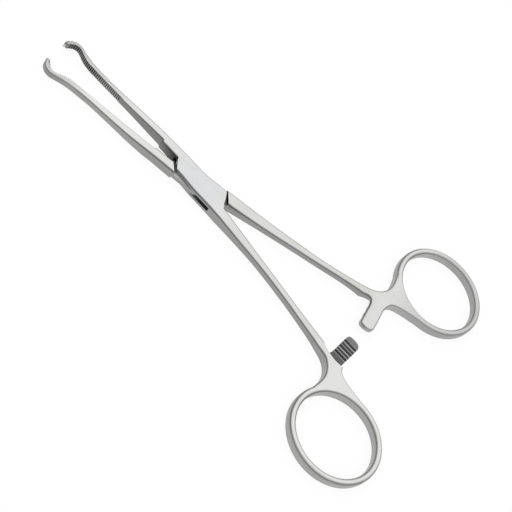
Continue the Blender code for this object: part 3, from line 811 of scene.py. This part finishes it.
def rescale(tree, value, low, high, first=0.0, last=1.0):
    """A value's part of the way from low to high, spread between two others."""
    node = add_node(tree, "ShaderNodeMapRange", {"Value": value, "From Min": low, "From Max": high,
                                                 "To Min": first, "To Max": last})
    return node.outputs["Result"]


def mix_colours(tree, mode, share, under, over):
    """A share of one colour mixed over another."""
    node = add_node(tree, "ShaderNodeMix", {0: share, 6: under, 7: over}, data_type="RGBA", blend_type=mode)
    return node.outputs[2]


def grey(tone):
    return (tone, tone, tone)


def steel_stops(*rows):
    """Colour stops from rows of a place, a tone for red and green, and mostly a shade less for blue."""
    return [(place, (tone, tone, blue)) for place, tone, blue in rows]


# Grain of the steel: features a metre along its own axes, detail and roughness
CLOUD_GRAIN = ((90.0, 160.0, 160.0), 3.0, 0.55)
BLAST_GRAIN = ((2600.0, 2600.0, 2600.0), 5.0, 0.7)
BRUSH_GRAIN = ((260.0, 9000.0, 9000.0), 3.0, 0.5)

# How the grain shows: clouds from stained to bright, blast marks a little darker or lighter, brushing
# that makes the gloss vary, and both of them raised by so many metres
CLOUD_PLACES = (0.30, 0.52, 0.75)
CLOUD_BRIGHT = (0.985, 0.985, 0.99)
BLAST_STOPS = [(0.30, grey(0.95)), (0.55, grey(1.0)), (0.8, grey(1.02))]
BLAST_STRENGTH = 0.8
BLAST_RAISED = 0.6
BRUSH_SPREAD = (0.3, 0.7)
SHINIER = 0.05
DULLER = 0.07
BUMP_STRENGTH = 0.35
BUMP_HEIGHT = 0.00002


def satin_finish_and_painted_shade(name, stops, stain, rough, streak_turn=0.0, tones=(), changes=()):
    """Brushed and bead-blasted stainless, with light and shade painted into its colour by how flat a face
    lies:
    level faces are painted brighter than upright walls. Over some stretches of the clamp it changes to
    other stops, and it is multiplied by tones that lie along the clamp."""
    material = bpy.data.materials.new(name)
    material.use_nodes = True
    tree = material.node_tree
    shader = tree.nodes["Principled BSDF"].inputs
    shader["Metallic"].default_value = 1.0
    coordinates = add_node(tree, "ShaderNodeTexCoord").outputs
    along = add_node(tree, "ShaderNodeSeparateXYZ", {"Vector": coordinates["Object"]}).outputs["X"]
    upward = add_node(tree, "ShaderNodeSeparateXYZ", {"Vector": coordinates["Normal"]}).outputs["Z"]
    flatness = add_node(tree, "ShaderNodeMath", {0: upward}, operation="ABSOLUTE").outputs[0]
    colour = ramp(tree, flatness, stops)
    for start, end, other_stops in changes:
        share = rescale(tree, along, start * MM, end * MM)
        colour = mix_colours(tree, "MIX", share, colour, ramp(tree, flatness, other_stops))
    clouds = zip(CLOUD_PLACES, (stain, grey(1.0), CLOUD_BRIGHT))
    stains = ramp(tree, grain(tree, *CLOUD_GRAIN), list(clouds))
    colour = mix_colours(tree, "MULTIPLY", 1.0, colour, stains)
    blast = grain(tree, *BLAST_GRAIN)
    colour = mix_colours(tree, "MULTIPLY", BLAST_STRENGTH, colour, ramp(tree, blast, BLAST_STOPS))
    if tones:
        first, last = tones[0][0], tones[-1][0]
        part = rescale(tree, along, first * MM, last * MM)
        shade = ramp(tree, part, [((x - first) / (last - first), tone) for x, tone in tones])
        colour = mix_colours(tree, "MULTIPLY", 1.0, colour, shade)
    brushing = grain(tree, *BRUSH_GRAIN, turn=(0.0, 0.0, streak_turn))
    dullness = rescale(tree, brushing, *BRUSH_SPREAD, rough - SHINIER, rough + DULLER)
    raised = add_node(tree, "ShaderNodeMath", {0: blast, 1: BLAST_RAISED, 2: brushing},
                      operation="MULTIPLY_ADD")
    bump = add_node(tree, "ShaderNodeBump", {"Strength": BUMP_STRENGTH, "Distance": BUMP_HEIGHT,
                                             "Height": raised.outputs[0]})
    for socket, source in (("Base Color", colour), ("Roughness", dullness), ("Normal", bump.outputs[0])):
        tree.links.new(source, shader[socket])
    return material


# Painted light and shade: tones by how flat a face lies, from an upright wall at 0 to a level face at 1.
# The forged stops paint level faces bright, walls darker and a darker band on the roundings between them;
# the soft and smooth stops paint that shade more gently.
FORGED_PAINTED_SHADE_STOPS = steel_stops(
    (0.0, 0.35, 0.346), (0.12, 0.31, 0.306), (0.36, 0.20, 0.197), (0.60, 0.18, 0.177),
    (0.80, 0.32, 0.316), (0.92, 0.55, 0.54), (0.985, 0.80, 0.785), (1.0, 0.86, 0.845))
SOFT_PAINTED_SHADE_STOPS = steel_stops(
    (0.0, 0.41, 0.405), (0.12, 0.37, 0.366), (0.36, 0.28, 0.277), (0.60, 0.28, 0.277),
    (0.80, 0.45, 0.444), (0.92, 0.67, 0.66), (0.985, 0.82, 0.805), (1.0, 0.86, 0.845))
SMOOTH_PAINTED_SHADE_STOPS = steel_stops(
    (0.0, 0.46, 0.455), (0.36, 0.42, 0.415), (0.60, 0.42, 0.415),
    (0.80, 0.56, 0.553), (0.92, 0.73, 0.72), (1.0, 0.86, 0.845))
# Painted shade on the jaws' inner faces, which face each other across the gap
INNER_PAINTED_SHADE_STOPS = steel_stops((0.0, 0.26, 0.255), (0.3, 0.16, 0.157), (0.6, 0.25, 0.245), (1.0, 0.6, 0.59))
# Painted shade on the serrations: lighter lands, and darker grooves
LAND_PAINTED_SHADE_STOPS = steel_stops((0.0, 0.46, 0.455), (0.6, 0.33, 0.326), (0.95, 0.26, 0.257))
GROOVE_PAINTED_SHADE_STOPS = steel_stops((0.0, 0.30, 0.296), (0.3, 0.14, 0.138), (1.0, 0.12, 0.118))
# Painted shade on the cut-down ratchet arm and its teeth
RATCHET_PAINTED_SHADE_STOPS = steel_stops(
    (0.0, 0.32, 0.32), (0.6, 0.30, 0.30), (0.80, 0.15, 0.15), (0.90, 0.16, 0.16),
    (0.955, 0.17, 0.17), (0.99, 0.17, 0.17), (1.0, 0.15, 0.15))
# Painted glint on the ratchet's crests and ridges
CREST_PAINTED_GLINT_STOPS = steel_stops((0.0, 0.30, 0.298), (0.7, 0.42, 0.418))
# Painted shade in the box lock's slot and recesses, near black on their walls
LOCK_PAINTED_SHADE_STOPS = steel_stops((0.0, 0.045, 0.044), (0.5, 0.08, 0.078), (1.0, 0.60, 0.594))
# Brighter stops for the box half's tip tooth
BRIGHT_STOPS = steel_stops((0.5, 0.62, 0.615), (1.0, 0.80, 0.795))

# Tones by how far along the clamp a place lies, in millimetres from the pivot
RING_MIDDLE = RING_X + HOLE_LENGTH / 2
# Painted shade that deepens along the throat toward the lock
THROAT_PAINTED_SHADE_TONES = [(STEP, grey(0.95)), (STEP + 0.55 * STEP_RUN, grey(0.52)), (-CHEEK_JAW_END, grey(0.14))]
GRIP_TONES = [(-JAW_LENGTH, grey(0.45)), (jaw_at(0.0), grey(0.55)), (jaw_at(0.14), grey(0.92)),
              (jaw_at(0.6), grey(1.0))]
# Painted shade that darkens toward both ends of the box lock's recesses
LOCK_PAINTED_SHADE_TONES = [(-0.85 * CHEEK_JAW_END, grey(0.2)), (-0.7 * CHEEK_JAW_END, grey(1.0)),
              (-0.15 * CHEEK_JAW_END, grey(1.0)), (0.1 * CHEEK_SHANK_END, grey(0.45))]
BOX_TONES = [(-JAW_LENGTH, grey(0.70)), (jaw_at(0.12), grey(0.84)), (jaw_at(0.45), grey(1.0)),
             (-1.3 * CHEEK_JAW_END, grey(1.0)), (-0.5 * CHEEK_JAW_END, (0.97, 0.975, 1.02)),
             (0.4 * CHEEK_SHANK_END, (0.965, 0.97, 1.0)), (1.1 * CHEEK_SHANK_END, grey(1.0)),
             (2.0 * CHEEK_SHANK_END, grey(0.94)), (RATCHET_X - 2.0 * RATCHET_WIDTH, grey(0.95)),
             (RATCHET_X, grey(1.0))]
THROUGH_TONES = [(-JAW_LENGTH, grey(0.70)), (jaw_at(0.0), grey(0.86)), (jaw_at(0.18), (1.04, 1.04, 1.03)),
                 (1.1 * CHEEK_SHANK_END, (0.96, 0.96, 0.955)),
                 (RATCHET_X - 2.0 * RATCHET_WIDTH, (0.92, 0.92, 0.915)), (RATCHET_X, (0.98, 0.98, 0.975)),
                 (RATCHET_X + 2.0 * RATCHET_WIDTH, (0.84, 0.84, 0.845)), (RING_MIDDLE, (0.80, 0.80, 0.805))]

# Stretches over which the forged steel's painted shade grows softer: toward the hook, and toward the finger
# ring
HOOK_STRETCH = (jaw_at(0.1), jaw_at(0.0))
RING_STRETCH = (RATCHET_X - RATCHET_WIDTH, RATCHET_X + RATCHET_WIDTH / 2)

FORGED_STAIN = (0.94, 0.945, 0.91)
GROUND_STAIN = (0.95, 0.955, 0.89)
GRIP_STAIN = (0.95, 0.95, 0.93)
ACROSS = math.pi / 2

# The forged steel of each half, with light and shade painted into its colour by how flat a face lies
box_steel = satin_finish_and_painted_shade("satin_steel_painted_shade", FORGED_PAINTED_SHADE_STOPS, FORGED_STAIN, 0.36, tones=BOX_TONES,
                         changes=((*HOOK_STRETCH, SOFT_PAINTED_SHADE_STOPS), (*RING_STRETCH, SOFT_PAINTED_SHADE_STOPS)))
through_steel = satin_finish_and_painted_shade("satin_steel_painted_shade_through", FORGED_PAINTED_SHADE_STOPS, FORGED_STAIN, 0.36,
                             tones=THROUGH_TONES,
                             changes=((*HOOK_STRETCH, SOFT_PAINTED_SHADE_STOPS), (*RING_STRETCH, SMOOTH_PAINTED_SHADE_STOPS)))
# The serrations' grooves carry painted shade
serrated_steel = satin_finish_and_painted_shade("serration_grooves", GROOVE_PAINTED_SHADE_STOPS, GRIP_STAIN, 0.45, ACROSS, GRIP_TONES)
# The ratchet's teeth carry painted shade
ratchet_steel = satin_finish_and_painted_shade("ratchet_tooth_steel", RATCHET_PAINTED_SHADE_STOPS, grey(0.85), 0.42, ACROSS)
# Finishes, each with light and shade painted into its colour by its stops
FINISHES_AND_PAINTED_SHADES = {
    # Painted shade along the throat, deepening toward the lock
    "throat": satin_finish_and_painted_shade("throat_painted_shade", INNER_PAINTED_SHADE_STOPS, GROUND_STAIN, 0.42, tones=THROAT_PAINTED_SHADE_TONES),
    # Painted shade on the jaws' unserrated inner faces
    "ground": satin_finish_and_painted_shade("inner_faces_painted_shade", INNER_PAINTED_SHADE_STOPS, GROUND_STAIN, 0.42),
    "groove": serrated_steel,
    "land": satin_finish_and_painted_shade("serration_lands", LAND_PAINTED_SHADE_STOPS, GRIP_STAIN, 0.40, ACROSS, GRIP_TONES),
    "ratchet": ratchet_steel,
    # Painted glint on the ratchet's crests and ridges
    "crest": satin_finish_and_painted_shade("ratchet_crest_painted_glint", CREST_PAINTED_GLINT_STOPS, grey(0.8), 0.36, ACROSS),
    # Painted shade in the box lock's slot and recesses
    "lock": satin_finish_and_painted_shade("box_lock_painted_shade", LOCK_PAINTED_SHADE_STOPS, (0.92, 0.92, 0.88), 0.5, tones=LOCK_PAINTED_SHADE_TONES),
    # Brighter stops on the box half's tip tooth
    "bright_tooth": satin_finish_and_painted_shade("bright_tip_tooth_faces", BRIGHT_STOPS, (0.97, 0.97, 0.95), 0.32),
}

# How far a face's unit normal points one way where its finish and painted shade change: less far up on an
# upright wall, further up on a level face, and further across, along or upward on the faces that are cut
UPRIGHT = 0.6
LEVEL = 0.95
ACROSS_GAP = 0.25
SLANTED = 0.3
TILTED = 0.4
FACES_UP = 0.15


def grip_finish_and_shade(place, facing, inner):
    """Finish and painted shade of a face beside the jaw's inner line, or None away from it."""
    upright = abs(facing.z) < UPRIGHT
    # Upright faces in the throat take its painted shade
    if STEP < place.x < -CHEEK_JAW_END and upright and abs(place.y) < 0.7 * THROAT_GAP:
        return "throat"
    if place.x > STEP or place.x < -JAW_LENGTH + TIP_WIDTH:
        return None
    run = run_beside(place, inner, BESIDE_GRIP)
    if run is None or facing.xy.dot(Vector((-run.y, run.x))) < ACROSS_GAP:
        return None
    if place.x > jaw_at(SERRATED_SHARE) + SERRATION_PITCH / 2:
        # Unserrated inner faces take the inner faces' painted shade
        return "ground" if upright else None
    # Serrations take painted shade, darker in the grooves than on the lands
    return "groove" if abs(facing.xy.dot(run)) > SLANTED else "land"


def arm_finish_and_shade(place, facing):
    """Finish and painted shade of a face on the toothed side of the ratchet arm: a painted glint on the
    ridges' slanting faces and on level faces among the teeth, painted shade on its other faces, and the
    lands' stops on the lead past the last crest.
    """
    past_first = place.y + FIRST_TOOTH
    if facing.y < -TILTED and facing.z > TILTED:
        return "crest"
    if facing.z < LEVEL or past_first < -VALLEY_FLOOR:
        return "ratchet"
    if past_first > (RATCHET_TEETH - 1) * TOOTH_PITCH + CREST_LAND:
        return "land"
    return "crest"


def face_finish_and_shade(place, facing, reach, inner, rim, is_box):
    """Which finish and painted shade a face of a half has, from where it lies, which way it faces and how
    high it reaches.
    """
    crest = -RATCHET_PLAY
    valley = crest - RATCHET_TOOTH_DEPTH
    on_arm = abs(place.x - RATCHET_X) < 0.75 * RATCHET_WIDTH and place.y > -RATCHET_ROOT - CHEEK_ROUND
    if on_arm and valley - RIDGE < place.z < crest + TIP_GAP and facing.z > FACES_UP:
        return arm_finish_and_shade(place, facing)
    in_lock = -1.4 * CHEEK_JAW_END < place.x < 1.2 * CHEEK_SHANK_END
    low, high = reach
    slot_half = TENON_THICK / 2 + TENON_PLAY
    # The box half's slot and the through half's recess floor and shoulders take the lock's painted shade
    if is_box and in_lock and high < slot_half + TENON_PLAY:
        return "lock"
    on_tenon = not is_box and in_lock and abs(low - TENON_THICK / 2) < 0.02
    if on_tenon and not run_beside(place, rim, BESIDE_RIM):
        return "lock"
    # The box half's tip tooth takes brighter stops
    if is_box and place.x < -JAW_LENGTH + TIP_WIDTH and place.y < 0.0:
        return "bright_tooth"
    # The end faces of the box half's tip take the serrations' painted shade
    if is_box and place.x < -JAW_LENGTH + 0.5 * TIP_WIDTH and facing.x < -SLANTED:
        return "groove"
    return grip_finish_and_shade(place, facing, inner) or "forged"


def finish_and_shade_faces(piece, tip_gap, is_box):
    """Gives the ratchet, the serrations, the inner jaw face and the lock their own finishes, each with its
    own painted light and shade.
    """
    mesh = piece.data
    mesh.materials.clear()
    finishes = {**FINISHES_AND_PAINTED_SHADES, "forged": box_steel if is_box else through_steel}
    order = list(finishes)
    for name in order:
        mesh.materials.append(finishes[name])
    inner = jaw_inner(tip_gap)
    rim = through_outline()
    for face in mesh.polygons:
        heights = [abs(mesh.vertices[v].co.z) for v in face.vertices]
        reach = (min(heights), max(heights))
        face.material_index = order.index(face_finish_and_shade(face.center, face.normal, reach, inner, rim, is_box))


def settle(piece, turn):
    """Puts a finished half in the frame's place, in metres."""
    piece.data.transform(turn @ Matrix.Scale(MM, 4))
    piece.data.shade_smooth()
    piece.data.set_sharp_from_angle(angle=math.radians(SMOOTH_ANGLE))
    even = piece.modifiers.new("Even shading", "WEIGHTED_NORMAL")
    even.keep_sharp = True
    apply_modifiers(piece)


# The clamp lies on its underside. Both halves are turned open by the same angle, and the through half
# is turned over as well.
lift = Matrix.Translation((0, 0, BODY_THICK / 2 * MM))

box_half = make_box_half()
finish_and_shade_faces(box_half, TIP_GAP, True)
settle(box_half, lift @ Matrix.Rotation(-REST_TURN, 4, "Z"))
box_half.name = "box_half_satin"
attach(box_half, "box_half")
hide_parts("box_half")

through_half = make_through_half()
finish_and_shade_faces(through_half, -PRONG_LENGTH, False)
settle(through_half, lift @ Matrix.Rotation(REST_TURN, 4, "Z") @ Matrix.Rotation(math.pi, 4, "X"))
through_half.name = "through_half_satin"
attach(through_half, "through_half")
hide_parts("through_half")

pin = bpy.data.objects["pivot_pin"]
pin.data.materials.clear()
pin.data.materials.append(box_steel)


# How far the ground reaches, in metres, and how much of it glows white where it is seen; the rest of it
# is paper that takes the shadow
GROUND_REACH = 3
GLOW_SHARE = 0.88
GLOW_STRENGTH = 1.02
PAPER_TONE = 0.98


def ground_material():
    """White to the camera and to reflections, with a trace of the clamp's shadow."""
    material = bpy.data.materials.new("white_ground")
    material.use_nodes = True
    tree = material.node_tree
    tree.nodes.clear()
    path = add_node(tree, "ShaderNodeLightPath").outputs
    seen = path["Is Camera Ray"]
    for kind in ("Is Glossy Ray", "Is Transmission Ray"):
        seen = add_node(tree, "ShaderNodeMath", {0: seen, 1: path[kind]}, operation="MAXIMUM").outputs[0]
    share = add_node(tree, "ShaderNodeMath", {0: seen, 1: GLOW_SHARE}, operation="MULTIPLY")
    paper = add_node(tree, "ShaderNodeBsdfDiffuse", {"Color": (*grey(PAPER_TONE), 1.0)})
    glow = add_node(tree, "ShaderNodeEmission", {"Color": (*grey(1.0), 1.0), "Strength": GLOW_STRENGTH})
    blend = add_node(tree, "ShaderNodeMixShader",
                     {0: share.outputs[0], 1: paper.outputs[0], 2: glow.outputs[0]})
    add_node(tree, "ShaderNodeOutputMaterial", {0: blend.outputs[0]})
    return material


ground_mesh = bpy.data.meshes.new("white_ground")
corners = [(GROUND_REACH * x, GROUND_REACH * y, 0) for x, y in ((-1, -1), (1, -1), (1, 1), (-1, 1))]
ground_mesh.from_pydata(corners, [], [(0, 1, 2, 3)])
ground = new_object("white_ground", ground_mesh)
ground_mesh.materials.append(ground_material())


def soft_lamp(name, place, size, power):
    """A round lamp that faces the middle of the clamp."""
    data = bpy.data.lights.new(name, "AREA")
    data.shape = "DISK"
    data.size = size
    data.energy = power
    lamp = new_object(name, data)
    lamp.location = place
    middle = Vector((0.02, 0.0, 0.0))
    lamp.rotation_euler = (middle - Vector(place)).to_track_quat("-Z", "Y").to_euler()


soft_lamp("side_lamp", (-0.5, 0.15, 0.7), 0.5, 0.5)
soft_lamp("low_lamp", (0.3, -0.6, 0.45), 0.4, 0.2)


def pale_sky():
    """A studio tent: white overhead, greyer toward its sides."""
    world = bpy.data.worlds.new("studio_tent")
    world.use_nodes = True
    tree = world.node_tree
    direction = add_node(tree, "ShaderNodeTexCoord").outputs["Generated"]
    height = add_node(tree, "ShaderNodeSeparateXYZ", {"Vector": direction}).outputs["Z"]
    tone = ramp(tree, height, [(0.0, (0.45, 0.45, 0.46)), (0.6, (0.84, 0.84, 0.845)), (1.0, grey(1.0))])
    tree.links.new(tone, tree.nodes["Background"].inputs["Color"])
    bpy.context.scene.world = world


pale_sky()


# The photograph's camera: its angles in degrees, tilt from straight above and roll about the line of
# sight, then the place it looks at, its distance from there and its lens
AZIMUTH = -94.272
TILT = 39.965
ROLL = 34.392
LOOKED_AT = (25.729, -4.609, 1.8)
DISTANCE = 451.95
LENS = 112.46


def aim_camera():
    azimuth, tilt, roll = (math.radians(angle) for angle in (AZIMUTH, TILT, ROLL))
    aim = Vector(LOOKED_AT) * MM
    level = math.sin(tilt)
    toward = Vector((level * math.cos(azimuth), level * math.sin(azimuth), math.cos(tilt)))
    up = Vector((-math.sin(roll), math.cos(roll), 0.0))
    across = up.cross(toward).normalized()
    true_up = toward.cross(across)
    data = bpy.data.cameras.new("photo_camera")
    data.lens = LENS
    data.clip_start = 0.01
    camera = new_object("photo_camera", data)
    turn = Matrix((across, true_up, toward)).transposed().to_4x4()
    camera.matrix_world = Matrix.Translation(aim + toward * DISTANCE * MM) @ turn
    bpy.context.scene.camera = camera


aim_camera()
bpy.context.scene.view_settings.view_transform = "Standard"

bpy.context.view_layer.update()
